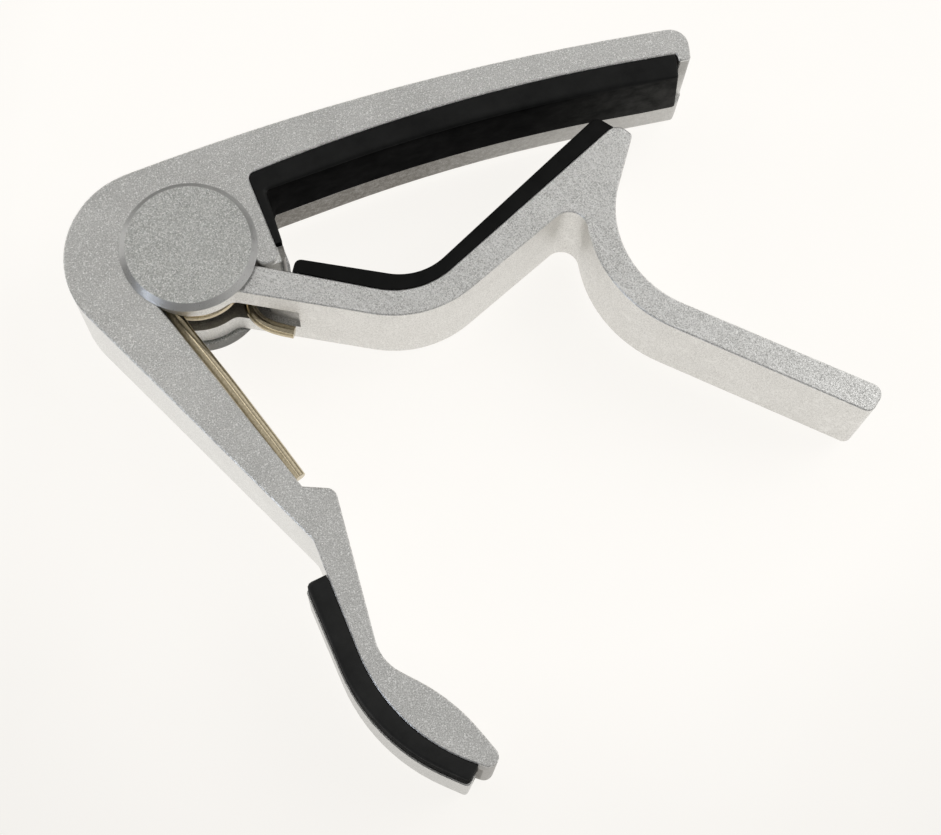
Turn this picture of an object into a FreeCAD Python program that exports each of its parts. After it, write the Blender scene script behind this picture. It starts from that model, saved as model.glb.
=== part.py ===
import FreeCAD, Part
import Sketcher
import math
import os

# Trigger-style guitar capo, in millimetres.
#
# The capo lies on its side. Z is the pivot axis, X runs along the chord of the string bar and
# Y points from the trigger lever towards the bar. The origin is on the pivot axis, at the outer
# flat of the rear cap. The frame and the lever are flat extrusions along Z, milled from the
# front for their rubber pads.

Vec = FreeCAD.Vector

DRIVING_SIZES = {
    # stack along the pivot axis
    "cap_height": 0.85,
    "frame_thickness": 14.0,
    "lever_recess": 0.6,
    "pad_pocket_depth": 9.5,
    "grip_pad_depth": 4.2,
    "rib_end_recess": 1.0,
    "slot_width": 5.0,
    # pivot
    "socket_radius": 7.2,
    "hub_radius": 7.1,
    "slot_reach": 10.4,
    "pin_radius": 2.5,
    "running_clearance": 0.05,
    "cap_radius": 8.2,
    "cap_chamfer": 0.75,
    "boss_radius": 3.6,
    "boss_height": 0.5,
    "pin_seat_depth": 0.4,
    "washer_radius": 6.6,
    "washer_thickness": 0.5,
    "sleeve_radius": 3.75,
    # spring
    "wire_radius": 0.78,
    "coil_radius": 5.5,
    "coil_pitch": 1.6,
    "whole_turns": 1.0,
    "long_leg_length": 29.3,
    "short_leg_straight": 5.6,
    "short_leg_bend": 3.6,
    "short_leg_end": 2.85,
    # finish
    "edge_bevel": 0.15,
    "hub_fillet": 1.8,
}

# Where the lever's upper edge leaves the round hub: the upright edge here gets the hub fillet.
HUB_ROOT = (3.08, -6.45)
HUB_ROOT_REACH = 1.5

# A slightly thicker ball hides each joint between coil and leg and keeps the union sound.
KNUCKLE_EXTRA = 0.02

# Each outline is a closed list of corners (x, y, corner radius). A long shallow arc, such as the
# top of the bar, is one corner with a large radius.

FRAME_OUTLINE = [
    (-21.14, 9.76, 11.2),     # round back of the hub
    (28.5, 14.47, 312.0),     # arched top of the bar
    (66.75, 10.05, 2.3),      # free end of the bar
    (65.75, 5.55, 0.5),
    (64.3, 5.75, 0.3),        # lip that closes the pad pocket
    (64.3, 6.83, 0.3),
    (37.4, 10.14, 212.0),     # underside of the bar
    (9.15, 7.05, 0.9),
    (9.97, -4.72, 1.3),       # ear that stops the lever
    (7.3, -4.72, 1.25),
    (6.2, 0.0, 0.0),          # inside the socket
    (0.0, 0.0, 0.0),
    (-6.746, -2.513, 0.0),    # the inner wall leaves the socket here
    (4.31, -32.15, 0.3),      # finger step
    (7.84, -33.53, 1.33),
    (6.83, -54.05, 5.6),      # slim neck of the handle
    (13.21, -60.5, 22.2),     # leaf-shaped end
    (17.45, -71.0, 1.13),
    (5.45, -62.0, 21.5),
    (3.95, -42.0, 0.0),
    (3.75, -38.6, 2.5),       # outer bend of the handle
]

STRING_RIB_OUTLINE = [
    (60.0, 9.0, 0.0),
    (66.15, 7.35, 0.0),       # flush with the end of the bar
    (65.75, 5.55, 0.8),
    (64.8, 4.42, 0.6),
    (37.4, 7.0, 205.0),       # roughly parallel to the underside of the bar
    (11.0, 4.95, 0.9),
    (11.3, -2.0, 3.0),
    (10.75, -4.72, 1.3),
    (8.45, -4.72, 0.0),
    (8.0, 8.5, 0.0),
]

STRING_RIB_END_OUTLINE = [
    (8.45, -2.75, 0.0),
    (10.75, -2.75, 0.2),      # stops the string pad's short leg
    (10.6, -4.72, 1.0),
    (8.45, -4.72, 0.0),
]

GRIP_RIB_OUTLINE = [
    (5.0, -42.9, 0.0),
    (1.25, -42.9, 0.5),
    (3.1, -61.95, 22.7),      # outer curve of the grip
    (12.05, -69.8, 0.5),
    (13.9, -67.98, 0.0),
    (8.2, -59.0, 0.0),
]

STRING_PAD_OUTLINE = [
    (64.24, 6.77, 0.25),
    (63.55, 3.95, 0.4),
    (37.4, 6.7, 205.0),       # face that presses the strings
    (10.7, 4.55, 0.5),
    (10.7, -2.65, 0.2),
    (9.87, -2.65, 0.0),
    (9.21, 6.99, 0.85),
    (37.4, 10.07, 212.0),
]

GRIP_PAD_OUTLINE = [
    (3.95, -42.95, 0.0),
    (1.44, -43.15, 0.6),
    (3.27, -61.75, 22.5),
    (12.1, -69.6, 0.4),
    (13.55, -68.15, 0.0),
    (5.39, -62.03, 21.56),
]

LEVER_OUTLINE = [
    (5.6, -3.6, 0.0),         # upper edge leaves the hub
    (24.2, -13.98, 10.0),     # inside of the V jaw
    (54.15, 0.42, 1.65),      # tip of the jaw
    (55.5, -1.7, 0.64),
    (45.47, -16.62, 13.0),    # trigger side of the elbow
    (72.93, -41.57, 1.3),     # free end of the trigger arm
    (70.15, -43.82, 1.1),
    (44.84, -20.52, 16.9),    # finger side of the elbow
    (46.84, -7.51, 2.2),
    (24.27, -17.52, 14.1),    # outside of the V jaw
    (-1.99, -3.8, 0.0),       # inside the hub
    (0.0, 0.0, 0.0),
]

NECK_RIB_OUTLINE = [
    (11.3, -7.5, 0.0),
    (11.9, -5.45, 0.6),
    (24.9, -12.35, 7.0),      # follows the pad, a little lower
    (51.9, 1.3, 1.0),
    (53.2, -1.0, 0.0),
    (24.2, -15.0, 0.0),
]

RECESS_OUTLINE = [
    (4.0, -5.2, 0.0),
    (10.5, -9.6, 0.3),        # the spring's recess ends in a step
    (9.95, -10.8, 0.0),
    (4.0, -7.6, 0.0),
]

NECK_PAD_OUTLINE = [
    (10.8, -6.4, 0.0),
    (11.65, -4.85, 0.8),
    (25.07, -11.74, 7.6),     # face that presses the back of the neck
    (52.1, 2.05, 1.2),
    (53.6, 0.03, 0.0),
    (52.8, -0.13, 0.0),
    (24.2, -13.91, 9.9),
]

# Directions in which the two legs of the spring leave its coil, in degrees from +X. The long
# leg is straight. The short leg bends outwards, under the lever.
LONG_LEG_ANGLE = -70.5
SHORT_LEG_START_ANGLE = -94.0
SHORT_LEG_END_ANGLE = -32.0


def make_sheet(document):
    """Make the spreadsheet, with one aliased cell for each driving size."""
    sheet = document.addObject("Spreadsheet::Sheet", "Sizes")
    for row, (alias, value) in enumerate(DRIVING_SIZES.items(), start=1):
        sheet.set(f"A{row}", alias)
        sheet.set(f"B{row}", str(value))
        sheet.setAlias(f"B{row}", alias)
    document.recompute()


def round_corner(before, corner, after, radius):
    """Start, middle and end of the tangent arc that rounds one corner."""
    to_before = (before - corner).normalize()
    to_after = (after - corner).normalize()
    half_angle = to_before.getAngle(to_after) / 2
    tangent_length = radius / math.tan(half_angle)
    bisector = (to_before + to_after).normalize()
    centre = corner + bisector * (radius / math.sin(half_angle))
    start = corner + to_before * tangent_length
    end = corner + to_after * tangent_length
    return start, centre - bisector * radius, end


def outline_edges(outline):
    """Lines and arcs of a closed outline, in order, as (start, middle or None, end)."""
    points = [Vec(x, y, 0) for x, y, _ in outline]
    arcs = []
    for index, (_, _, radius) in enumerate(outline):
        corner = points[index]
        if radius > 0:
            after = points[(index + 1) % len(points)]
            arcs.append(round_corner(points[index - 1], corner, after, radius))
        else:
            arcs.append((corner, None, corner))
    edges = []
    for index, (start, middle, end) in enumerate(arcs):
        if middle is not None:
            edges.append((start, middle, end))
        edges.append((end, None, arcs[(index + 1) % len(arcs)][0]))
    return edges


def matching_end(sketch, geometry, point):
    """1 if the element starts at the point, 2 if it ends there."""
    start_gap = sketch.getPoint(geometry, 1).distanceToPoint(point)
    end_gap = sketch.getPoint(geometry, 2).distanceToPoint(point)
    return 1 if start_gap < end_gap else 2


def draw_outline(sketch, outline):
    """Draw a closed outline in a sketch and join its elements end to end."""
    edges = outline_edges(outline)
    for start, middle, end in edges:
        if middle is None:
            sketch.addGeometry(Part.LineSegment(start, end), False)
        else:
            sketch.addGeometry(Part.Arc(start, middle, end), False)
    last = len(edges) - 1
    for index in range(len(edges)):
        following = 0 if index == last else index + 1
        joint = edges[index][2]
        ends = (matching_end(sketch, index, joint), matching_end(sketch, following, joint))
        sketch.addConstraint(Sketcher.Constraint("Coincident", index, ends[0], following, ends[1]))


def new_body(document, label, level):
    """PartDesign body whose Z zero stands at the level given by a sheet expression."""
    body = document.addObject("PartDesign::Body", label)
    body.Label = label
    body.setExpression("Placement.Base.z", level)
    return body


def plane_sketch(body, name, level=None):
    """Sketch on the body's own XY plane, raised to the level given by an expression."""
    sketch = body.newObject("Sketcher::SketchObject", name)
    plane = [item for item in body.Origin.OriginFeatures if item.Role == "XY_Plane"][0]
    sketch.AttachmentSupport = [(plane, "")]
    sketch.MapMode = "FlatFace"
    if level is not None:
        sketch.setExpression("AttachmentOffset.Base.z", level)
    return sketch


def outline_sketch(body, name, outline, level=None):
    """Sketch of one closed outline."""
    sketch = plane_sketch(body, name, level)
    draw_outline(sketch, outline)
    return sketch


def circle_sketch(body, name, radii, level=None):
    """Sketch of circles about the pivot axis, each radius given by an expression."""
    sketch = plane_sketch(body, name, level)
    for index, expression in enumerate(radii):
        sketch.addGeometry(Part.Circle(Vec(0, 0, 0), Vec(0, 0, 1), 1.0 + index), False)
        sketch.addConstraint(Sketcher.Constraint("Coincident", index, 3, -1, 1))
        row = sketch.addConstraint(Sketcher.Constraint("Radius", index, 1.0 + index))
        sketch.setExpression(f"Constraints[{row}]", expression)
    return sketch


def add_pad(body, sketch, length):
    """Extrude the sketch along +Z by the length given by an expression."""
    pad = body.newObject("PartDesign::Pad", sketch.Name + "_pad")
    pad.Profile = sketch
    pad.setExpression("Length", length)


def add_pocket(document, body, sketch, length):
    """Pocket that cuts upwards from its sketch; the volume proves that it cut."""
    document.recompute()
    volume_before = body.Shape.Volume
    pocket = body.newObject("PartDesign::Pocket", sketch.Name + "_pocket")
    pocket.Profile = sketch
    pocket.Reversed = True
    pocket.setExpression("Length", length)
    document.recompute()
    if not body.Shape.Volume < volume_before - 1e-6:
        raise RuntimeError(f"{pocket.Name} cut nothing")


def add_edge_treatment(document, body, kind, name, size, is_wanted):
    """Fillet or chamfer of every edge of the body's tip that is_wanted accepts."""
    document.recompute()
    tip = body.Tip
    wanted = [f"Edge{number}" for number, edge in enumerate(tip.Shape.Edges, start=1) if is_wanted(edge)]
    feature = body.newObject(kind, name)
    feature.Base = (tip, wanted)
    feature.setExpression("Radius" if kind.endswith("Fillet") else "Size", size)


def in_plane(edge, level):
    """True if the whole edge lies in the plane Z = level of its body."""
    box = edge.BoundBox
    return abs(box.ZMin - level) < 1e-6 and abs(box.ZMax - level) < 1e-6


def vertical_near(edge, x, y, reach):
    """True if the edge stands along Z within reach of the point x, y."""
    box = edge.BoundBox
    upright = box.ZLength > 1e-3 and box.XLength < 1e-6 and box.YLength < 1e-6
    return upright and math.hypot(box.Center.x - x, box.Center.y - y) < reach


def make_frame(document, sizes):
    """Bar, hub and handle in one extrusion, with the ribs that back the two outer pads."""
    body = new_body(document, "frame", "Sizes.cap_height")
    profile = outline_sketch(body, "frame_profile", FRAME_OUTLINE)
    add_pad(body, profile, "Sizes.frame_thickness")
    string_rib = outline_sketch(body, "string_rib_profile", STRING_RIB_OUTLINE)
    add_pad(body, string_rib, "Sizes.frame_thickness - Sizes.pad_pocket_depth")
    rib_end = outline_sketch(body, "string_rib_end_profile", STRING_RIB_END_OUTLINE)
    add_pad(body, rib_end, "Sizes.frame_thickness - Sizes.rib_end_recess")
    grip_rib = outline_sketch(body, "grip_rib_profile", GRIP_RIB_OUTLINE)
    add_pad(body, grip_rib, "Sizes.frame_thickness - Sizes.grip_pad_depth")
    socket = circle_sketch(body, "socket_circle", ["Sizes.socket_radius"])
    add_pocket(document, body, socket, "Sizes.frame_thickness")
    thickness = sizes["frame_thickness"]

    def on_front_or_rear_face(edge):
        return in_plane(edge, 0) or in_plane(edge, thickness)

    add_edge_treatment(document, body, "PartDesign::Chamfer", "frame_edge_bevel",
                       "Sizes.edge_bevel", on_front_or_rear_face)
    return body


def make_lever(document, sizes):
    """Forked hub, V jaw, elbow and trigger arm in one extrusion."""
    body = new_body(document, "trigger_lever", "Sizes.cap_height + Sizes.lever_recess")
    thickness = "Sizes.frame_thickness - 2 * Sizes.lever_recess"
    hub = circle_sketch(body, "hub_circle", ["Sizes.hub_radius"])
    add_pad(body, hub, thickness)
    profile = outline_sketch(body, "lever_profile", LEVER_OUTLINE)
    add_pad(body, profile, thickness)
    rib_height = "Sizes.frame_thickness - Sizes.pad_pocket_depth - Sizes.lever_recess"
    neck_rib = outline_sketch(body, "neck_rib_profile", NECK_RIB_OUTLINE)
    add_pad(body, neck_rib, rib_height)
    add_edge_treatment(document, body, "PartDesign::Fillet", "hub_root_fillet", "Sizes.hub_fillet",
                       lambda edge: vertical_near(edge, *HUB_ROOT, HUB_ROOT_REACH))
    bore = circle_sketch(body, "pin_bore", ["Sizes.pin_radius + Sizes.running_clearance"])
    add_pocket(document, body, bore, thickness)
    slot_level = "(Sizes.frame_thickness - Sizes.slot_width) / 2 - Sizes.lever_recess"
    slot = circle_sketch(body, "spring_slot", ["Sizes.slot_reach"], slot_level)
    add_pocket(document, body, slot, "Sizes.slot_width")
    recess = outline_sketch(body, "spring_recess", RECESS_OUTLINE, slot_level)
    add_pocket(document, body, recess, "Sizes.slot_width")
    front = sizes["frame_thickness"] - 2 * sizes["lever_recess"]

    def on_front_or_rear_face(edge):
        return in_plane(edge, 0) or in_plane(edge, front)

    add_edge_treatment(document, body, "PartDesign::Chamfer", "lever_edge_bevel",
                       "Sizes.edge_bevel", on_front_or_rear_face)
    return body


def make_rubber_pad(document, label, outline, pocket_depth, height):
    """Rubber pad that stands on a rib, pocket_depth below the front face of the frame."""
    rib_level = f"Sizes.cap_height + Sizes.frame_thickness - {pocket_depth}"
    body = new_body(document, label, rib_level)
    sketch = outline_sketch(body, label + "_profile", outline)
    add_pad(body, sketch, height)
    return body


def make_cap(document, label, is_front):
    """Round cap with a bevelled rim, and on its inner side a boss that seats the pin."""
    if is_front:
        level = "Sizes.cap_height + Sizes.frame_thickness"
    else:
        level = "Sizes.cap_height"
    body = new_body(document, label, level)
    disc = circle_sketch(body, label + "_disc", ["Sizes.cap_radius"])
    add_pad(body, disc, "Sizes.cap_height")
    boss = circle_sketch(body, label + "_boss", ["Sizes.boss_radius"], "-Sizes.boss_height")
    add_pad(body, boss, "Sizes.boss_height")
    seat = circle_sketch(body, label + "_seat", ["Sizes.pin_radius"], "-Sizes.boss_height")
    add_pocket(document, body, seat, "Sizes.boss_height + Sizes.pin_seat_depth")
    cap_height = DRIVING_SIZES["cap_height"]
    cap_radius = DRIVING_SIZES["cap_radius"]
    add_edge_treatment(document, body, "PartDesign::Chamfer", label + "_rim_bevel", "Sizes.cap_chamfer",
                       lambda edge: in_plane(edge, cap_height) and edge.BoundBox.XMax > cap_radius - 0.1)
    if not is_front:
        body.Placement.Rotation = FreeCAD.Rotation(Vec(1, 0, 0), 180)
    return body


def make_ring(document, label, inner, outer, level, height):
    """Plain ring about the pivot axis: a washer or a sleeve."""
    body = new_body(document, label, level)
    sketch = circle_sketch(body, label + "_rings", [outer, inner])
    add_pad(body, sketch, height)
    return body


def make_pin(document):
    """Solid pin pressed into the bosses of both caps."""
    pin = document.addObject("Part::Cylinder", "pivot_pin")
    pin.Label = "pivot_pin"
    pin.setExpression("Radius", "Sizes.pin_radius")
    pin.setExpression("Placement.Base.z", "Sizes.cap_height - Sizes.pin_seat_depth")
    pin.setExpression("Height", "Sizes.frame_thickness + 2 * Sizes.pin_seat_depth")
    return pin


def swept_wire(path, start, direction, radius):
    """Round wire swept along a path that starts at a point in a direction."""
    section = Part.Wire([Part.makeCircle(radius, start, direction)])
    return path.makePipeShell([section], True, True)


def heading(angle_degrees):
    """Unit vector in the XY plane, at an angle from +X."""
    angle = math.radians(angle_degrees)
    return Vec(math.cos(angle), math.sin(angle), 0)


def make_spring(document, sizes):
    """Torsion spring: a closed coil, a long leg on the handle and a short leg under the lever."""
    radius = sizes["wire_radius"]
    coil_radius = sizes["coil_radius"]
    pitch = sizes["coil_pitch"]
    long_side = LONG_LEG_ANGLE - 90 + 360
    short_side = SHORT_LEG_START_ANGLE + 90
    turns = sizes["whole_turns"] + (long_side - short_side) / 360
    middle = sizes["cap_height"] + sizes["frame_thickness"] / 2
    rear_level = middle - turns * pitch / 2
    front_level = middle + turns * pitch / 2

    helix = Part.makeHelix(pitch, turns * pitch, coil_radius)
    coil_start = Vec(coil_radius, 0, 0)
    climb = Vec(0, 2 * math.pi * coil_radius, pitch)
    coil = swept_wire(Part.Wire(helix.Edges), coil_start, climb, radius)
    coil.rotate(Vec(0, 0, 0), Vec(0, 0, 1), short_side)
    coil.translate(Vec(0, 0, rear_level))

    def upwards(level):
        return Vec(0, 0, level)

    long_start = heading(long_side) * coil_radius + upwards(front_level)
    long_end = long_start + heading(LONG_LEG_ANGLE) * sizes["long_leg_length"]
    long_path = Part.Wire([Part.LineSegment(long_start, long_end).toShape()])
    long_leg = swept_wire(long_path, long_start, heading(LONG_LEG_ANGLE), radius)

    short_start = heading(short_side) * coil_radius + upwards(rear_level)
    bend_start = short_start + heading(SHORT_LEG_START_ANGLE) * sizes["short_leg_straight"]
    bend_radius = sizes["short_leg_bend"]
    bend_centre = bend_start + heading(SHORT_LEG_START_ANGLE + 90) * bend_radius

    def on_bend(angle):
        return bend_centre + heading(angle - 90) * bend_radius

    bend_end = on_bend(SHORT_LEG_END_ANGLE)
    bend_middle = on_bend((SHORT_LEG_START_ANGLE + SHORT_LEG_END_ANGLE) / 2)
    short_end = bend_end + heading(SHORT_LEG_END_ANGLE) * sizes["short_leg_end"]
    short_path = Part.Wire([
        Part.LineSegment(short_start, bend_start).toShape(),
        Part.Arc(bend_start, bend_middle, bend_end).toShape(),
        Part.LineSegment(bend_end, short_end).toShape(),
    ])
    short_leg = swept_wire(short_path, short_start, heading(SHORT_LEG_START_ANGLE), radius)

    knuckles = [Part.makeSphere(radius + KNUCKLE_EXTRA, point) for point in (long_start, short_start)]
    spring = document.addObject("Part::Feature", "torsion_spring")
    spring.Label = "torsion_spring"
    spring.Shape = coil.fuse([long_leg, short_leg] + knuckles)
    return spring


def make_parts(document, sizes):
    """Every separate piece of the capo, in order of assembly."""
    pad_depth = "Sizes.pad_pocket_depth"
    grip_depth = "Sizes.grip_pad_depth"
    inner_bore = "Sizes.pin_radius + Sizes.running_clearance"
    slot_level = "Sizes.cap_height + (Sizes.frame_thickness - Sizes.slot_width) / 2"
    front_washer_level = "Sizes.cap_height + Sizes.frame_thickness - Sizes.washer_thickness"
    boss_bore = "Sizes.boss_radius + Sizes.running_clearance"
    return [
        make_frame(document, sizes),
        make_rubber_pad(document, "string_pad", STRING_PAD_OUTLINE, pad_depth, pad_depth),
        make_rubber_pad(document, "grip_pad", GRIP_PAD_OUTLINE, grip_depth, grip_depth),
        make_lever(document, sizes),
        make_rubber_pad(document, "neck_pad", NECK_PAD_OUTLINE, pad_depth,
                        "Sizes.pad_pocket_depth - Sizes.lever_recess"),
        make_ring(document, "spring_sleeve", inner_bore, "Sizes.sleeve_radius",
                  slot_level + " + Sizes.running_clearance",
                  "Sizes.slot_width - 2 * Sizes.running_clearance"),
        make_spring(document, sizes),
        make_pin(document),
        make_ring(document, "rear_washer", boss_bore, "Sizes.washer_radius",
                  "Sizes.cap_height", "Sizes.washer_thickness"),
        make_ring(document, "front_washer", boss_bore, "Sizes.washer_radius",
                  front_washer_level, "Sizes.washer_thickness"),
        make_cap(document, "rear_cap", False),
        make_cap(document, "front_cap", True),
    ]


def check_document(document, parts):
    """Stop if any object failed or any part has no valid solid."""
    for item in document.Objects:
        if "Invalid" in item.State or "Error" in item.State:
            raise RuntimeError(f"{item.Name} failed: {item.State}")
    for part in parts:
        shape = part.Shape
        if shape.isNull() or not shape.isValid() or len(shape.Solids) != 1:
            raise RuntimeError(f"{part.Label} is not one valid solid")


def main():
    document = FreeCAD.newDocument("guitar_capo")
    make_sheet(document)
    parts = make_parts(document, DRIVING_SIZES)
    document.recompute()
    check_document(document, parts)
    os.makedirs("parts", exist_ok=True)
    for part in parts:
        part.Shape.exportStep(f"parts/{part.Label}.step")
        box = part.Shape.BoundBox
        print(f"{part.Label:16s} volume {part.Shape.Volume:9.2f}  x {box.XMin:7.2f} {box.XMax:7.2f}"
              f"  y {box.YMin:7.2f} {box.YMax:7.2f}  z {box.ZMin:6.2f} {box.ZMax:6.2f}")


main()
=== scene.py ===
import math

import bmesh
import bpy
from mathutils import Matrix, Vector


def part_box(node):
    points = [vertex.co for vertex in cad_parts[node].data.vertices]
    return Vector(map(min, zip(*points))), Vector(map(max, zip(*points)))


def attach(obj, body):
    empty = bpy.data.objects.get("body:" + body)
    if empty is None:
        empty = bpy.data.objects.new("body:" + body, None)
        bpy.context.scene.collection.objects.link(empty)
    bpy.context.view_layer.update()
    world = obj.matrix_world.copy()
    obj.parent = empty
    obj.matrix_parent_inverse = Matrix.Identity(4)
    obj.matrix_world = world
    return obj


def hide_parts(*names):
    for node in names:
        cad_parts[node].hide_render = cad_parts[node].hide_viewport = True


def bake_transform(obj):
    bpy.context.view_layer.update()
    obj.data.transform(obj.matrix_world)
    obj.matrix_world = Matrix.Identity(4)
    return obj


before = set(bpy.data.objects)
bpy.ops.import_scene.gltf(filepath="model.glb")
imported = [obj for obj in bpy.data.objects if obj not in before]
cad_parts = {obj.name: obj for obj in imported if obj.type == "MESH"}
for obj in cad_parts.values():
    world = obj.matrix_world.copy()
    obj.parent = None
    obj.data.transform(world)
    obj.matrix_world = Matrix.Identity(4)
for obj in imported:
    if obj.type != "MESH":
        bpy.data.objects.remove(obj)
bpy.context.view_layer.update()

MM = 0.001
FACE_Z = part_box("frame")[1].z                       # front face of the frame, in metres
FRONT = FACE_Z / MM                                 # the same in mm
LEVER_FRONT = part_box("trigger_lever")[1].z / MM
RIB_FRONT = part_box("string_pad")[0].z / MM          # what the string and neck pads rest on

# Sockets of the Mix node that carry colours: their names are the same for every data type.
MIX_COLOUR_A = 6
MIX_COLOUR_B = 7
MIX_COLOUR_RESULT = 2


# ---------------------------------------------------------------- shader nodes
def new_material(name):
    """A material with a bare Principled shader, and that shader."""
    material = bpy.data.materials.new(name)
    material.use_nodes = True
    nodes = material.node_tree.nodes
    nodes.clear()
    output = nodes.new("ShaderNodeOutputMaterial")
    shader = nodes.new("ShaderNodeBsdfPrincipled")
    material.node_tree.links.new(shader.outputs["BSDF"], output.inputs["Surface"])
    return material, shader


class Graph:
    """Short names for the shader nodes of a material or a world."""

    def __init__(self, owner):
        self.tree = owner.node_tree

    def node(self, kind, **settings):
        """Add a node of this kind and set its properties."""
        made = self.tree.nodes.new(kind)
        for key, value in settings.items():
            setattr(made, key, value)
        return made

    def link(self, source, target):
        self.tree.links.new(source, target)

    def position(self):
        """The point in the frame of its object, in metres."""
        return self.node("ShaderNodeTexCoord").outputs["Object"]

    def xyz(self, vector):
        """The three components of a vector."""
        made = self.node("ShaderNodeSeparateXYZ")
        self.link(vector, made.inputs["Vector"])
        return made.outputs

    def length(self, vector):
        made = self.node("ShaderNodeVectorMath", operation="LENGTH")
        self.link(vector, made.inputs[0])
        return made.outputs["Value"]

    def scaled(self, scale, turn):
        """The position scaled along axes that are turned about Z by `turn` degrees."""
        made = self.node("ShaderNodeMapping", vector_type="TEXTURE")
        made.inputs["Rotation"].default_value = (0, 0, math.radians(turn))
        made.inputs["Scale"].default_value = tuple(1.0 / c for c in scale)
        self.link(self.position(), made.inputs["Vector"])
        return made.outputs["Vector"]

    def noise(self, scale, detail=3.0, roughness=0.6, where=None):
        """Cloudy noise between 0 and 1, at the position unless told where."""
        if where is None:
            where = self.position()
        made = self.node("ShaderNodeTexNoise")
        made.inputs["Scale"].default_value = scale
        made.inputs["Detail"].default_value = detail
        made.inputs["Roughness"].default_value = roughness
        self.link(where, made.inputs["Vector"])
        return made.outputs["Fac"]

    def specks(self, scale):
        """Small cells, each with its own value between 0 and 1."""
        made = self.node("ShaderNodeTexVoronoi")
        made.inputs["Scale"].default_value = scale
        self.link(self.position(), made.inputs["Vector"])
        split = self.node("ShaderNodeSeparateColor")
        self.link(made.outputs["Color"], split.inputs["Color"])
        return split.outputs["Red"]

    def mix(self, first, second, share):
        """Two values mixed, with a fixed share of the second."""
        made = self.node("ShaderNodeMix", data_type="FLOAT")
        made.inputs["Factor"].default_value = share
        self.link(first, made.inputs["A"])
        self.link(second, made.inputs["B"])
        return made.outputs["Result"]

    def math(self, operation, first, second):
        made = self.node("ShaderNodeMath", operation=operation)
        self.link(first, made.inputs[0])
        self.link(second, made.inputs[1])
        return made.outputs[0]

    def overlay(self, colour, added, share):
        """Lay the fixed colour `added` over a colour, by a share that may vary."""
        made = self.node("ShaderNodeMix", data_type="RGBA")
        self.link(share, made.inputs["Factor"])
        self.link(colour, made.inputs[MIX_COLOUR_A])
        made.inputs[MIX_COLOUR_B].default_value = (*added, 1.0)
        return made.outputs[MIX_COLOUR_RESULT]

    def remap(self, value, span, target=(0.0, 1.0)):
        """Map the span (start, end) to the target (start, end), and hold the values past it."""
        made = self.node("ShaderNodeMapRange")
        made.inputs["From Min"].default_value = span[0]
        made.inputs["From Max"].default_value = span[1]
        made.inputs["To Min"].default_value = target[0]
        made.inputs["To Max"].default_value = target[1]
        self.link(value, made.inputs["Value"])
        return made.outputs["Result"]

    def ramp(self, value, span, dark, light):
        """Blend from the colour `dark` at the start of the span to `light` at its end."""
        made = self.node("ShaderNodeValToRGB")
        for element, place, colour in zip(made.color_ramp.elements, span, (dark, light)):
            element.position = place
            element.color = (*colour, 1.0)
        self.link(value, made.inputs["Fac"])
        return made.outputs["Color"]

    def bump(self, height, strength, depth):
        """Normals of a rough surface; depth is in mm."""
        made = self.node("ShaderNodeBump")
        made.inputs["Strength"].default_value = strength
        made.inputs["Distance"].default_value = depth * MM
        self.link(height, made.inputs["Height"])
        return made.outputs["Normal"]


# ---------------------------------------------------------------- metals
BRIGHT = (0.98, 0.98, 0.97)            # specks of the blasting and rubbed edges
SCRATCH = (0.95, 0.95, 0.94)
# Scales along x, y and z of the two sets of scratches, and how they are turned, in degrees.
SCRATCHES = [((260, 5200, 600), -38), ((5200, 240, 600), 22)]
SCRATCH_SPAN = (0.64, 0.72)            # the part of the noise that makes a scratch
CLOUD_SCALE = 220
CLOUD_SHARE = 0.14
SPECKS_PER_GRAIN = 1.25
BLAST_DEPTH = 0.05                     # mm
BLAST_ROUGHNESS_SPREAD = 0.08
BLAST_SPAN = (0.34, 0.66)              # grain values between the darkest and the lightest colour
STREAK_SPAN = (0.35, 0.65)
NOISE_SPAN = (0.3, 0.7)                # where nearly all values of a noise lie

# In the measure of facing_up: where an edge leaves the wall, where it leaves the flat face, and
# where the painted light and shade of the walls sets in and is full.
OFF_WALL = (0.12, 0.3)
OFF_FACE = (0.85, 0.7)
WALL_SPAN = (0.3, 0.05)
WALL_SHARE = 0.50                      # how far the grain is painted over with the light and shade of the upright walls
FLECK_SCALE = 2400
FLECK_SPAN = (0.50, 0.58)
FLECK_SHARE = 0.7

CAP_FLAT_RADIUS = 7.45                 # mm, where the bevelled rim of a cap starts
RIM_BLUR = 0.05                        # mm
# painted shade: the darker colour of the bevelled rim
RIM_SHADE_COLOUR = (0.60, 0.60, 0.595)
RIM_ROUGHNESS = 0.85                   # as a share of the flat face's

PLAIN_DEPTH = 0.04                     # mm
PLAIN_ROUGHNESS_SPREAD = 0.06

# Boxes in mm where shade is painted on walls and recesses, and how dark it is there. Each of x, y
# and z is (low, high, length over which the painted shade fades in at the low end, and out at the
# high end).
FRAME_PAINTED_SHADE = [
    # wall of the rib behind the string pad
    ((10.2, 92.0, 0.15, 62.0), (0.0, 7.7, 0.15, 0.15), (1.0, 5.37, 0.15, 0.15), 0.95),
    # end of that rib, beside the ear
    ((9.95, 11.6, 0.15, 0.3), (-5.2, -2.7, 0.15, 0.15), (1.0, 14.2, 0.15, 0.15), 0.80),
    # inside of the lip at the end of the bar
    ((64.3, 66.9, 0.15, 1.2), (5.0, 9.9, 0.15, 0.15), (3.0, 14.6, 9.0, 0.15), 0.62),
    # wall of the rib behind the grip pad
    ((0.0, 14.2, 0.15, 0.15), (-70.5, -42.7, 0.15, 0.15), (0.9, 10.62, 0.15, 0.15), 0.34),
    # wall under the tip of the handle
    ((13.0, 18.2, 0.15, 1.5), (-72.0, -67.0, 0.15, 0.6), (1.0, 14.6, 0.15, 0.15), 0.72),
]
LEVER_PAINTED_SHADE = [
    # slot of the fork
    ((-9.0, 10.6, 0.15, 5.0), (-11.2, 0.0, 0.15, 0.15), (5.30, 10.38, 0.05, 0.03), 0.66),
]
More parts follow.
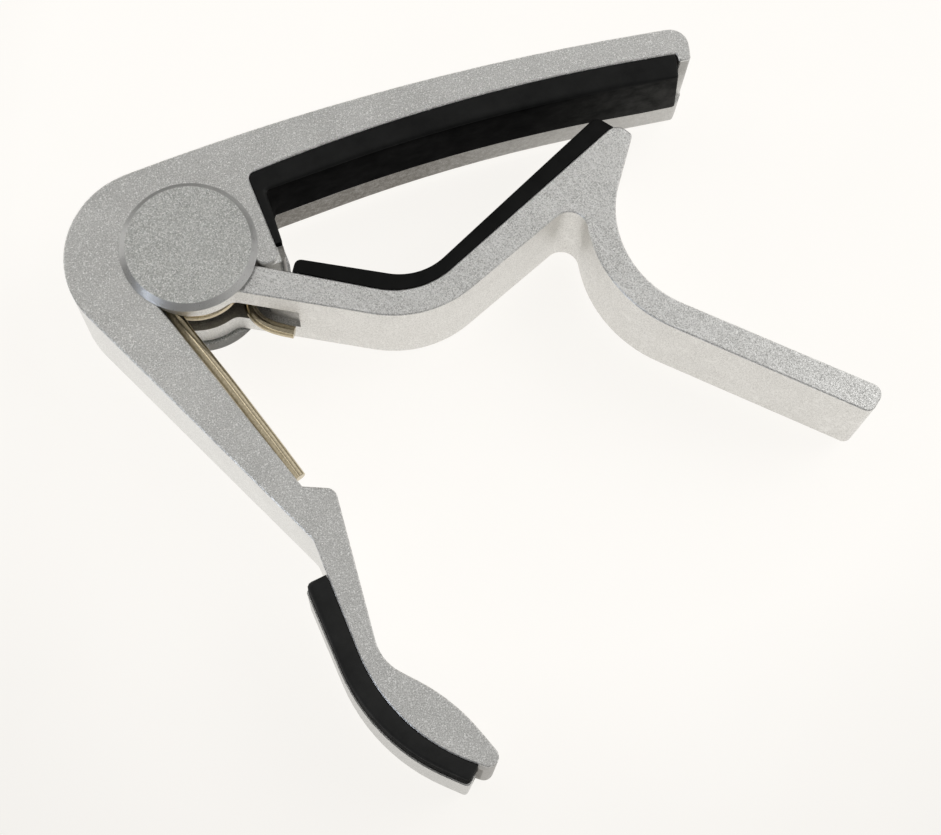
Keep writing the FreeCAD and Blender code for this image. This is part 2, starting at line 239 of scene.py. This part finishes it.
# painted shade: the dark colour laid on walls and recesses that are in shadow
PAINTED_SHADE_COLOUR = (0.095, 0.084, 0.066)
PAINTED_SHADE_THIN = 0.72                       # darkness of the lightest painted shade, as a share of the full one
PAINTED_SHADE_SCALE = 1500
PAINTED_SHADE_SPAN = (0.38, 0.56)
PAINTED_SHADE_CLOUDS = 0.4                      # share of the painted shade's own clouds; the rest is the grain


def painted_shade_share(g, grain, boxes):
    """Share of painted shade at each point of a casting, inside the boxes."""
    axes = g.xyz(g.position())
    rough = g.mix(grain, g.noise(PAINTED_SHADE_SCALE, roughness=0.7), PAINTED_SHADE_CLOUDS)
    total = None
    for *spans, darkness in boxes:
        share = g.remap(rough, PAINTED_SHADE_SPAN, (darkness * PAINTED_SHADE_THIN, darkness))
        for value, (low, high, fade_in, fade_out) in zip(axes, spans):
            for outside, inside in ((low, low + fade_in), (high, high - fade_out)):
                mask = g.remap(value, (outside * MM, inside * MM))
                share = g.math("MULTIPLY", share, mask)
        total = share if total is None else g.math("ADD", total, share)
    return total


def facing_up(g):
    """How far the surface faces along the pivot axis: 1 on the flat faces, 0 on the walls."""
    upward = g.xyz(g.node("ShaderNodeNewGeometry").outputs["Normal"])["Z"]
    return g.math("MULTIPLY", upward, upward)


def worn_edge(g):
    """Bright flecks where the broken edge between a flat face and a wall is rubbed."""
    up = facing_up(g)
    edge = g.math("MULTIPLY", g.remap(up, OFF_WALL), g.remap(up, OFF_FACE))
    flecks = g.remap(g.noise(FLECK_SCALE, roughness=0.7), FLECK_SPAN, (0.0, FLECK_SHARE))
    return g.math("MULTIPLY", edge, flecks)


def cast_metal(name, dark, light, wall, grain, roughness, bump, sparkle, scratches=0.0, shade_boxes=None):
    """Bead-blasted cast alloy: fine grains over soft clouds, with a share of brighter specks.

    `wall` is the colour painted on the upright walls as their light and shade.
    """
    material, shader = new_material(name)
    g = Graph(material)
    shader.inputs["Metallic"].default_value = 1.0
    fine = g.noise(grain, detail=2.0, roughness=0.7)
    value = g.mix(fine, g.noise(CLOUD_SCALE), CLOUD_SHARE)
    colour = g.ramp(value, BLAST_SPAN, dark, light)
    specks = g.specks(grain * SPECKS_PER_GRAIN)
    colour = g.overlay(colour, BRIGHT, g.remap(specks, (1 - sparkle, 1.0)))
    if scratches:
        for scale, turn in SCRATCHES:
            marks = g.noise(1.0, detail=1.0, roughness=0.5, where=g.scaled(scale, turn))
            colour = g.overlay(colour, SCRATCH, g.remap(marks, SCRATCH_SPAN, (0.0, scratches)))
    # painted light and shade: the upright walls take the `wall` colour
    colour = g.overlay(colour, wall, g.remap(facing_up(g), WALL_SPAN, (0.0, WALL_SHARE)))
    colour = g.overlay(colour, BRIGHT, worn_edge(g))
    # painted shade on walls and recesses that are in shadow
    if shade_boxes:
        colour = g.overlay(colour, PAINTED_SHADE_COLOUR, painted_shade_share(g, fine, shade_boxes))
    dull = roughness + BLAST_ROUGHNESS_SPREAD
    smooth = roughness - BLAST_ROUGHNESS_SPREAD
    g.link(colour, shader.inputs["Base Color"])
    g.link(g.remap(value, NOISE_SPAN, (dull, smooth)), shader.inputs["Roughness"])
    g.link(g.bump(g.mix(fine, specks, 0.5), bump, BLAST_DEPTH), shader.inputs["Normal"])
    return material


def rim_painted_shade(material):
    """Paint shade on the bevelled rim of a blasted cap as a darker colour, and make the rim smoother
    than its flat face.
    """
    g = Graph(material)
    shader = material.node_tree.nodes["Principled BSDF"]
    colour = shader.inputs["Base Color"]
    roughness = shader.inputs["Roughness"]
    flat = g.node("ShaderNodeVectorMath", operation="MULTIPLY")
    g.link(g.position(), flat.inputs[0])
    flat.inputs[1].default_value = (1.0, 1.0, 0.0)
    edge = ((CAP_FLAT_RADIUS - RIM_BLUR) * MM, (CAP_FLAT_RADIUS + RIM_BLUR) * MM)
    rim = g.remap(g.length(flat.outputs["Vector"]), edge)
    share = g.math("MULTIPLY", rim, rim)
    smooth = g.remap(rim, (0.0, 1.0), (1.0, RIM_ROUGHNESS))
    g.link(g.overlay(colour.links[0].from_socket, RIM_SHADE_COLOUR, share), colour)
    g.link(g.math("MULTIPLY", roughness.links[0].from_socket, smooth), roughness)


def plain_metal(name, dark, light, grain, roughness, bump):
    """Drawn or ground metal with fine streaks."""
    material, shader = new_material(name)
    g = Graph(material)
    shader.inputs["Metallic"].default_value = 1.0
    streaks = g.noise(grain)
    dull = roughness + PLAIN_ROUGHNESS_SPREAD
    smooth = roughness - PLAIN_ROUGHNESS_SPREAD
    g.link(g.ramp(streaks, STREAK_SPAN, dark, light), shader.inputs["Base Color"])
    g.link(g.remap(streaks, NOISE_SPAN, (dull, smooth)), shader.inputs["Roughness"])
    g.link(g.bump(g.noise(grain * 2, detail=2.0), bump, PLAIN_DEPTH), shader.inputs["Normal"])
    return material


# ---------------------------------------------------------------- rubber
CLOUD_SCALES = (160, 900)              # coarse and fine clouds in the colour
FINE_CLOUDS = 0.4
RUBBER_SPAN = (0.36, 0.62)             # cloud values between the darkest and the lightest colour
# colour that the rubber turns paler towards, near the free end of the bar
PALE_END_COLOUR = (0.085, 0.085, 0.081)
PALE_END_SPAN = (0.044, 0.062)             # metres along the bar, from where the paling starts to where it is full
PATCH_SCALE = 420
PATCH_SPAN = (0.35, 0.65)
PATCH_SHARES = (0.35, 1.0)
RUBBER_IOR = 1.45
RUBBER_ROUGHNESS = (0.50, 0.72)
ROUGHNESS_SCALE = 350
PORE_SCALE = 2600
PORE_STRENGTH = 0.35
PORE_DEPTH = 0.04                      # mm


def rubber_material(name, dark, light, gloss, pale_end=0.0):
    """Satin moulded rubber; paler in patches towards the free end of the bar where asked."""
    material, shader = new_material(name)
    g = Graph(material)
    coarse, fine = CLOUD_SCALES
    clouds = g.mix(g.noise(coarse, detail=4.0), g.noise(fine), FINE_CLOUDS)
    colour = g.ramp(clouds, RUBBER_SPAN, dark, light)
    if pale_end:
        paling = g.remap(g.xyz(g.position())["X"], PALE_END_SPAN, (0.0, pale_end))
        patches = g.noise(PATCH_SCALE, detail=4.0, roughness=0.65)
        patches = g.remap(patches, PATCH_SPAN, PATCH_SHARES)
        colour = g.overlay(colour, PALE_END_COLOUR, g.math("MULTIPLY", paling, patches))
    g.link(colour, shader.inputs["Base Color"])
    shader.inputs["IOR"].default_value = RUBBER_IOR
    shader.inputs["Specular IOR Level"].default_value = gloss
    sheen = g.remap(g.noise(ROUGHNESS_SCALE), NOISE_SPAN, RUBBER_ROUGHNESS)
    g.link(sheen, shader.inputs["Roughness"])
    pores = g.noise(PORE_SCALE, detail=2.0)
    g.link(g.bump(pores, PORE_STRENGTH, PORE_DEPTH), shader.inputs["Normal"])
    return material


# ---------------------------------------------------------------- finishes of the pieces
ALLOY = cast_metal(
    "alloy_bead_blasted", dark=(0.42, 0.42, 0.41), light=(0.83, 0.83, 0.815),
    wall=(0.97, 0.965, 0.945), grain=6800, roughness=0.44, bump=0.6, sparkle=0.22, shade_boxes=FRAME_PAINTED_SHADE)
LEVER_ALLOY = cast_metal(
    "alloy_lever", dark=(0.41, 0.41, 0.40), light=(0.98, 0.98, 0.965), wall=(0.74, 0.72, 0.68),
    grain=6200, roughness=0.40, bump=1.1, sparkle=0.30, scratches=0.6, shade_boxes=LEVER_PAINTED_SHADE)
CAP_ALLOY = cast_metal(
    "alloy_cap_sparkle", dark=(0.355, 0.365, 0.35), light=(0.79, 0.795, 0.775),
    wall=(0.75, 0.75, 0.73), grain=6400, roughness=0.38, bump=1.1, sparkle=0.34)
rim_painted_shade(CAP_ALLOY)
WIRE = plain_metal(
    "spring_wire_bronze", dark=(0.46, 0.395, 0.275), light=(0.62, 0.54, 0.39),
    grain=3200, roughness=0.15, bump=0.05)
PIN = plain_metal(
    "pin_ground_steel", dark=(0.55, 0.55, 0.55), light=(0.65, 0.65, 0.65),
    grain=2000, roughness=0.3, bump=0.2)
RUBBER = rubber_material(
    "rubber_face", dark=(0.0035, 0.0037, 0.0038), light=(0.0085, 0.0090, 0.0088), gloss=0.22)
# painted shade: a darker, less glossy copy of the face rubber, for the walls of the pads
RUBBER_FLANK_SHADED = rubber_material(
    "rubber_flank_shaded", dark=(0.0022, 0.0023, 0.0024), light=(0.0048, 0.0049, 0.0049), gloss=0.008,
    pale_end=0.55)
RUBBER_GRIP = rubber_material(
    "rubber_grip", dark=(0.0075, 0.0078, 0.0078), light=(0.0145, 0.0150, 0.0148), gloss=0.30)
RUBBER_NECK = rubber_material(
    "rubber_neck", dark=(0.0020, 0.0021, 0.0020), light=(0.0048, 0.0050, 0.0046), gloss=0.16)
NYLON = rubber_material(
    "nylon_black", dark=(0.020, 0.020, 0.021), light=(0.030, 0.030, 0.031), gloss=0.4)

PAINT = {
    "frame": ALLOY,
    "trigger_lever": LEVER_ALLOY,
    "front_cap": CAP_ALLOY,
    "rear_cap": CAP_ALLOY,
    "spring_sleeve": NYLON,
    "front_washer": NYLON,
    "rear_washer": NYLON,
    "torsion_spring": WIRE,
    "pivot_pin": PIN,
}
for node, material in PAINT.items():
    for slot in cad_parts[node].material_slots:
        slot.material = material


# ---------------------------------------------------------------- meshes, in mm
def corner_arc(before, corner, after, radius, spacing):
    """Points of the arc that rounds a corner between two neighbouring ones."""
    to_before = (before - corner).normalized()
    to_after = (after - corner).normalized()
    if radius <= 0:
        return [corner]
    half = to_before.angle(to_after) / 2
    bisector = (to_before + to_after).normalized()
    centre = corner + bisector * (radius / math.sin(half))
    arm = corner + to_before * (radius / math.tan(half)) - centre
    sweep = math.pi - 2 * half
    side = to_before.x * to_after.y - to_before.y * to_after.x
    steps = max(3, round(radius * sweep / spacing))
    arc = []
    for step in range(steps + 1):
        angle = -math.copysign(sweep * step / steps, side)
        arc.append(centre + Vector((arm.x * math.cos(angle) - arm.y * math.sin(angle),
                                    arm.x * math.sin(angle) + arm.y * math.cos(angle))))
    return arc


def rounded_outline(corners, spacing):
    """Points round a closed outline of (x, y, radius, edge) corners, about `spacing` apart.

    Each point comes with the roundness of the front edge there.
    """
    count = len(corners)
    places = [Vector((x, y)) for x, y, _, _ in corners]
    arcs = []
    for index, (_, _, radius, _) in enumerate(corners):
        after = places[(index + 1) % count]
        arcs.append(corner_arc(places[index - 1], places[index], after, radius, spacing))
    points = []
    for index, arc in enumerate(arcs):
        following = (index + 1) % count
        edge = corners[index][3]
        change = corners[following][3] - edge
        points.extend((point, edge) for point in arc)
        gap = arcs[following][0] - arc[-1]
        pieces = max(1, round(gap.length / spacing))
        for piece in range(1, pieces):
            share = piece / pieces
            points.append((arc[-1] + gap * share, edge + change * share))
    return points


def new_object(name, vertices, faces, material, smooth_below):
    """Mesh object with normals outward, shaded smooth where faces meet below an angle in degrees."""
    mesh = bpy.data.meshes.new(name)
    mesh.from_pydata([tuple(c * MM for c in v) for v in vertices], [], faces)
    mesh.update()
    obj = bpy.data.objects.new(name, mesh)
    bpy.context.scene.collection.objects.link(obj)
    obj.data.materials.append(material)
    work = bmesh.new()
    work.from_mesh(mesh)
    bmesh.ops.recalc_face_normals(work, faces=work.faces)
    work.to_mesh(mesh)
    work.free()
    mesh.shade_smooth()
    mesh.set_sharp_from_angle(angle=math.radians(smooth_below))
    return obj


def ring_faces(rings, around):
    """Faces between neighbouring rings of `around` points, then one over each end."""
    faces = []
    for ring in range(rings - 1):
        base = ring * around
        for i in range(around):
            j = (i + 1) % around
            faces.append((base + i, base + j, base + around + j, base + around + i))
    faces.append(tuple(range(around))[::-1])
    top = (rings - 1) * around
    faces.append(tuple(range(top, top + around)))
    return faces


# ---------------------------------------------------------------- rubber pads
OUTLINE_SPACING = 0.35                 # mm
WALL_LEVELS = 6
ROUND_STEPS = 6
PAD_SMOOTH_BELOW = 40.0                # degrees


def inward_normals(outline):
    """Unit vectors from each point of a closed outline to its inside."""
    area = 0.0
    for (here, _), (there, _) in zip(outline, outline[1:] + outline[:1]):
        area += here.x * there.y - there.x * here.y
    inward = []
    for i in range(len(outline)):
        along = outline[(i + 1) % len(outline)][0] - outline[i - 1][0]
        normal = Vector((-along.y, along.x)).normalized()
        inward.append(normal if area > 0 else -normal)
    return inward


def strip_rings(outline, low, high):
    """Rings of (point, t, z) up the walls of a strip and over its rounded front edge."""
    inward = inward_normals(outline)
    rings = []
    for level in range(WALL_LEVELS):
        t = level / WALL_LEVELS
        rings.append([(p, t, low + (high - low - edge) * t) for p, edge in outline])
    for step in range(ROUND_STEPS + 1):
        angle = math.pi / 2 * step / ROUND_STEPS
        ring = []
        for (p, edge), normal in zip(outline, inward):
            drop = edge * (1 - math.sin(angle))
            ring.append((p + normal * edge * (1 - math.cos(angle)), 1.0, high - drop))
        rings.append(ring)
    return rings


def moulded_strip(name, corners, low, high, material, shape=None):
    """Rubber strip: an outline of (x, y, radius, edge) corners raised from low to high.

    `edge` is the roundness of the front edge at that corner. shape(x, y, t) moves a point,
    where t runs from 0 at the back to 1 at the front.
    """
    outline = rounded_outline(corners, OUTLINE_SPACING)
    rings = strip_rings(outline, low, high)
    vertices = []
    for ring in rings:
        for p, t, z in ring:
            x, y = shape(p.x, p.y, t) if shape else (p.x, p.y)
            vertices.append((x, y, z))
    faces = ring_faces(len(rings), len(outline))
    strip = new_object(name, vertices, faces, material, PAD_SMOOTH_BELOW)
    # the walls of the pad get the darker rubber, which is painted shade
    strip.data.materials.append(RUBBER_FLANK_SHADED)
    flank_faces = (WALL_LEVELS + 1) * len(outline)
    for face in strip.data.polygons:
        face.material_index = 1 if face.index < flank_faces else 0
    return strip


# Corners of the pads seen from the front: x, y, radius, roundness of the front edge there.
STRING_PAD = [
    (64.24, 6.80, 0.5, 0.12), (63.5, 3.75, 0.35, 0.3), (37.4, 6.55, 205.0, 0.8),
    (10.74, 4.45, 0.5, 0.5), (10.74, -2.62, 0.2, 0.15), (9.87, -2.62, 0.0, 0.1),
    (9.18, 6.99, 0.85, 0.1), (37.4, 10.09, 212.0, 0.1),
]
GRIP_PAD = [
    (3.93, -42.78, 0.0, 0.1), (1.42, -43.0, 0.7, 0.65), (3.27, -61.75, 22.5, 0.45),
    (12.1, -69.6, 0.6, 0.3), (13.55, -68.15, 0.0, 0.1), (5.41, -62.02, 21.54, 0.1),
]
NECK_PAD = [
    (10.8, -6.4, 0.0, 0.1), (11.65, -4.85, 0.8, 0.3), (25.07, -11.74, 7.6, 0.3),
    (52.1, 2.05, 1.2, 0.3), (53.6, 0.03, 0.0, 0.1), (52.8, -0.13, 0.0, 0.1),
    (24.2, -13.93, 9.93, 0.1),
]
# How far behind the front face of its casting each pad stays.
STRING_PAD_STEP = 0.12
GRIP_PAD_STEP = 0.10
NECK_PAD_STEP = 0.05

RETURN_END_X = 11.5                    # the short return beside the ear ends here
MIDDLE_X = 37.0                        # top of the parabola along the middle of the string pad
MIDDLE_Y = 7.3
MIDDLE_SPREAD = 420.0                  # the larger, the flatter the parabola
PROUD = 0.45                           # how far the face stands out at the front
END_START_X = 60.0                     # where the free end of the string pad starts
END_LENGTH = 4.2
END_SLANT = 1.2                        # how much further the free end reaches at the back


def string_pad_shape(x, y, t):
    """Set the pressing face flush with the rib at the back and proud of it in front.

    The free end slants too: it reaches furthest at the back.
    """
    middle = MIDDLE_Y - (x - MIDDLE_X) ** 2 / MIDDLE_SPREAD
    if x > RETURN_END_X and y < middle:
        y += PROUD * (1.0 - t)
    if x > END_START_X:
        x += END_SLANT * (1.0 - t) * (x - END_START_X) / END_LENGTH
    return x, y


def build_pads():
    """The three rubber pads, in place of the ones from CAD."""
    grip_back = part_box("grip_pad")[0].z / MM
    string_pad = moulded_strip("string_pad_rubber", STRING_PAD, RIB_FRONT, FRONT - STRING_PAD_STEP,
                               RUBBER, string_pad_shape)
    grip_pad = moulded_strip("grip_pad_rubber", GRIP_PAD, grip_back, FRONT - GRIP_PAD_STEP,
                             RUBBER_GRIP)
    neck_pad = moulded_strip("neck_pad_rubber", NECK_PAD, RIB_FRONT, LEVER_FRONT - NECK_PAD_STEP,
                             RUBBER_NECK)
    for piece, node, body in ((string_pad, "string_pad", "frame_body"),
                              (grip_pad, "grip_pad", "frame_body"),
                              (neck_pad, "neck_pad", "lever_body")):
        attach(piece, body)
        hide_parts(node)


# ---------------------------------------------------------------- spring
WIRE_RADIUS = 0.78
WIRE_SIDES = 20
WIRE_SMOOTH_BELOW = 35.0               # degrees
END_BREAK = 0.06                       # length of the broken edge at each end
END_RADIUS = WIRE_RADIUS * 0.93
COIL_RADIUS = 5.5
COIL_TURNS = 1.0                       # whole turns, with the part turn of FRONT_ANGLE on top
COIL_STEPS = 150
FRONT_TURN = Vector((0.25, -0.15, FRONT - 5.30))   # centre of the coil at the long leg
REAR_TURN = Vector((0.0, -0.62, FRONT - 8.70))     # centre of the coil at the short leg
FRONT_ANGLE = math.radians(199.5)      # where the coil runs out into the long leg
KNOT_STEPS = 12                        # points between two knots of a leg
# Knots of the legs in x and y: the short one from its end to the coil, the long one from the coil.
SHORT_LEG = [
    (9.22, -10.90), (7.72, -10.02), (6.64, -9.21), (5.75, -8.20),
    (5.25, -7.10), (5.10, -6.10), (5.30, -3.6), (5.50, -0.62),
]
SHORT_LEG_SPACING = 0.3
LONG_LEG = [
    (-3.42, -7.35), (-1.80, -11.78), (-0.30, -15.78),
    (1.40, -20.63), (2.98, -25.16), (4.54, -29.80),
]
LONG_LEG_SPACING = 0.4


def smooth_path(points, spacing):
    """Evenly spaced points on a curve through the given points."""
    curve = bpy.data.curves.new("path", "CURVE")
    curve.dimensions = "3D"
    spline = curve.splines.new("BEZIER")
    spline.bezier_points.add(len(points) - 1)
    for knot, point in zip(spline.bezier_points, points):
        knot.co = point
        knot.handle_left_type = knot.handle_right_type = "AUTO"
    spline.resolution_u = KNOT_STEPS
    holder = bpy.data.objects.new("path", curve)
    bpy.context.scene.collection.objects.link(holder)
    evaluated = holder.evaluated_get(bpy.context.evaluated_depsgraph_get())
    mesh = bpy.data.meshes.new_from_object(evaluated)
    found = [v.co.copy() for v in mesh.vertices]
    bpy.data.objects.remove(holder)
    bpy.data.meshes.remove(mesh)
    bpy.data.curves.remove(curve)
    even = [found[0]]
    for point in found[1:]:
        while (point - even[-1]).length >= spacing:
            even.append(even[-1] + (point - even[-1]).normalized() * spacing)
    return even


def spring_path():
    """Centre line of the wire, from the end of the short leg to the end of the long leg."""
    short_leg = [Vector((x, y, REAR_TURN.z)) for x, y in SHORT_LEG]
    points = smooth_path(short_leg, SHORT_LEG_SPACING)
    sweep = FRONT_ANGLE + 2 * math.pi * COIL_TURNS
    for step in range(1, COIL_STEPS + 1):
        share = step / COIL_STEPS
        angle = sweep * share
        centre = REAR_TURN.lerp(FRONT_TURN, share)
        points.append(centre + Vector((math.cos(angle), math.sin(angle), 0)) * COIL_RADIUS)
    long_leg = [points[-1]]
    long_leg.extend(Vector((x, y, FRONT_TURN.z)) for x, y in LONG_LEG)
    points.extend(smooth_path(long_leg, LONG_LEG_SPACING)[1:])
    return points


def wire_rings(points):
    """A (centre, across, over, radius) ring at each point, and a smaller one past each end."""
    last = len(points) - 1
    rings = []
    across = None
    for i, point in enumerate(points):
        tangent = (points[min(i + 1, last)] - points[max(i - 1, 0)]).normalized()
        if across is None:
            across = tangent.orthogonal().normalized()
        across = (across - tangent * across.dot(tangent)).normalized()
        over = tangent.cross(across)
        if i == 0:
            rings.append((point - tangent * END_BREAK, across, over, END_RADIUS))
        rings.append((point, across, over, WIRE_RADIUS))
        if i == last:
            rings.append((point + tangent * END_BREAK, across, over, END_RADIUS))
    return rings


def round_wire(name, points):
    """Round wire along the points, with square-cut, slightly broken ends."""
    rings = wire_rings(points)
    vertices = []
    for centre, across, over, radius in rings:
        for side in range(WIRE_SIDES):
            angle = 2 * math.pi * side / WIRE_SIDES
            vertices.append(centre + (across * math.cos(angle) + over * math.sin(angle)) * radius)
    return new_object(name, vertices, ring_faces(len(rings), WIRE_SIDES), WIRE, WIRE_SMOOTH_BELOW)


def build_spring():
    """The wire of the spring, in place of the one from CAD, running between the two bodies."""
    spring = round_wire("spring_wire", spring_path())
    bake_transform(spring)
    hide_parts("torsion_spring")


# ---------------------------------------------------------------- floor, light, camera, in metres
FLOOR_SIZE = 3.0
FLOOR_PLACE = (0.045, 0.005, -0.00005)      # just under the rear cap, which is at 0
PAPER_SCALE = 40
PAPER_DARK = (0.17, 0.165, 0.16)
PAPER_LIGHT = (0.18, 0.175, 0.17)
PAPER_ROUGHNESS = 0.9
GLOW_COLOUR = (1.0, 0.98, 0.945, 1.0)
GLOW_DISTANCES = (0.065, 0.30)              # from the middle of the paper
GLOW_STRENGTHS = (0.875, 0.30)              # at those two distances

SKY_COLOUR = (1.0, 0.99, 0.97, 1.0)
# Heights in the sky, from 0 at the horizon to 1 overhead, and the strengths there.
SKY_HEIGHTS = (0.05, 0.55)
SKY_STRENGTHS = (0.10, 0.385)
# What is added above the horizon towards +X: the heights it fades in over, how far towards +X,
# and the strengths there.
RIGHT_HEIGHTS = (0.10, 0.50)
RIGHT_SPAN = (0.15, 0.92)
RIGHT_STRENGTHS = (0.0, 0.96)

LIGHT_TARGET = (0.03, -0.02, 0.0)
# Name, place, diameter, power in watts, colour.
LIGHTS = [
    ("softbox_right", (1.1, 0.0, 0.98), 1.0, 4.2, (1.0, 0.99, 0.97)),
    ("window_left", (-1.0, -0.36, 0.28), 0.22, 0.9, (0.78, 0.86, 1.0)),
    ("softbox_back_left", (-0.75, 0.70, 0.35), 0.6, 1.7, (1.0, 0.99, 0.97)),
    ("lamp_overhead", (-0.12, 0.31, 0.94), 0.30, 0.24, (1.0, 0.98, 0.94)),
]

CAMERA_SENSOR = 36.0                        # mm
CAMERA_LENS = 69.36                         # mm
CAMERA_CLIP = 0.01
CAMERA_PLACE = (-0.00072, -0.08701, FACE_Z + 0.200)
CAMERA_FORWARD = (0.12354, 0.27105, -0.95460)
CAMERA_RIGHT = (0.94888, -0.31382, 0.03370)


def build_floor():
    """White paper lit through from below, brightest round the object."""
    bpy.ops.mesh.primitive_plane_add(size=FLOOR_SIZE, location=FLOOR_PLACE)
    floor = bpy.context.object
    floor.name = "floor"
    material, shader = new_material("floor_paper")
    g = Graph(material)
    paper = g.ramp(g.noise(PAPER_SCALE), NOISE_SPAN, PAPER_DARK, PAPER_LIGHT)
    glow = g.remap(g.length(g.position()), GLOW_DISTANCES, GLOW_STRENGTHS)
    g.link(paper, shader.inputs["Base Color"])
    shader.inputs["Roughness"].default_value = PAPER_ROUGHNESS
    shader.inputs["Specular IOR Level"].default_value = 0.0
    shader.inputs["Emission Color"].default_value = GLOW_COLOUR
    g.link(glow, shader.inputs["Emission Strength"])
    floor.data.materials.append(material)


def build_sky():
    """A sky that is dark at the horizon and brighter overhead and towards +X."""
    world = bpy.data.worlds.new("studio")
    world.use_nodes = True
    g = Graph(world)
    background = world.node_tree.nodes["Background"]
    background.inputs["Color"].default_value = SKY_COLOUR
    direction = g.xyz(g.node("ShaderNodeTexCoord").outputs["Generated"])
    overhead = g.remap(direction["Z"], SKY_HEIGHTS, SKY_STRENGTHS)
    raised = g.remap(direction["Z"], RIGHT_HEIGHTS)
    towards_right = g.remap(direction["X"], RIGHT_SPAN, RIGHT_STRENGTHS)
    strength = g.math("ADD", overhead, g.math("MULTIPLY", raised, towards_right))
    g.link(strength, background.inputs["Strength"])
    bpy.context.scene.world = world


def build_lights():
    """Disk-shaped lights that all point at the object."""
    for name, place, diameter, power, colour in LIGHTS:
        light = bpy.data.lights.new(name, "AREA")
        light.shape = "DISK"
        light.size = diameter
        light.energy = power
        light.color = colour
        holder = bpy.data.objects.new(name, light)
        bpy.context.scene.collection.objects.link(holder)
        holder.location = place
        aim = Vector(LIGHT_TARGET) - Vector(place)
        holder.rotation_euler = aim.to_track_quat("-Z", "Y").to_euler()


def build_camera():
    """The camera, 200 mm above the front face of the frame."""
    camera = bpy.data.cameras.new("camera")
    camera.sensor_width = CAMERA_SENSOR
    camera.lens = CAMERA_LENS
    camera.clip_start = CAMERA_CLIP
    holder = bpy.data.objects.new("camera", camera)
    bpy.context.scene.collection.objects.link(holder)
    forward = Vector(CAMERA_FORWARD).normalized()
    right = Vector(CAMERA_RIGHT).normalized()
    up = right.cross(forward)
    turn = Matrix((right, up, -forward)).transposed().to_4x4()
    holder.matrix_world = Matrix.Translation(CAMERA_PLACE) @ turn
    bpy.context.scene.camera = holder


build_pads()
build_spring()
build_floor()
build_sky()
build_lights()
build_camera()
bpy.context.scene.view_settings.view_transform = "Standard"
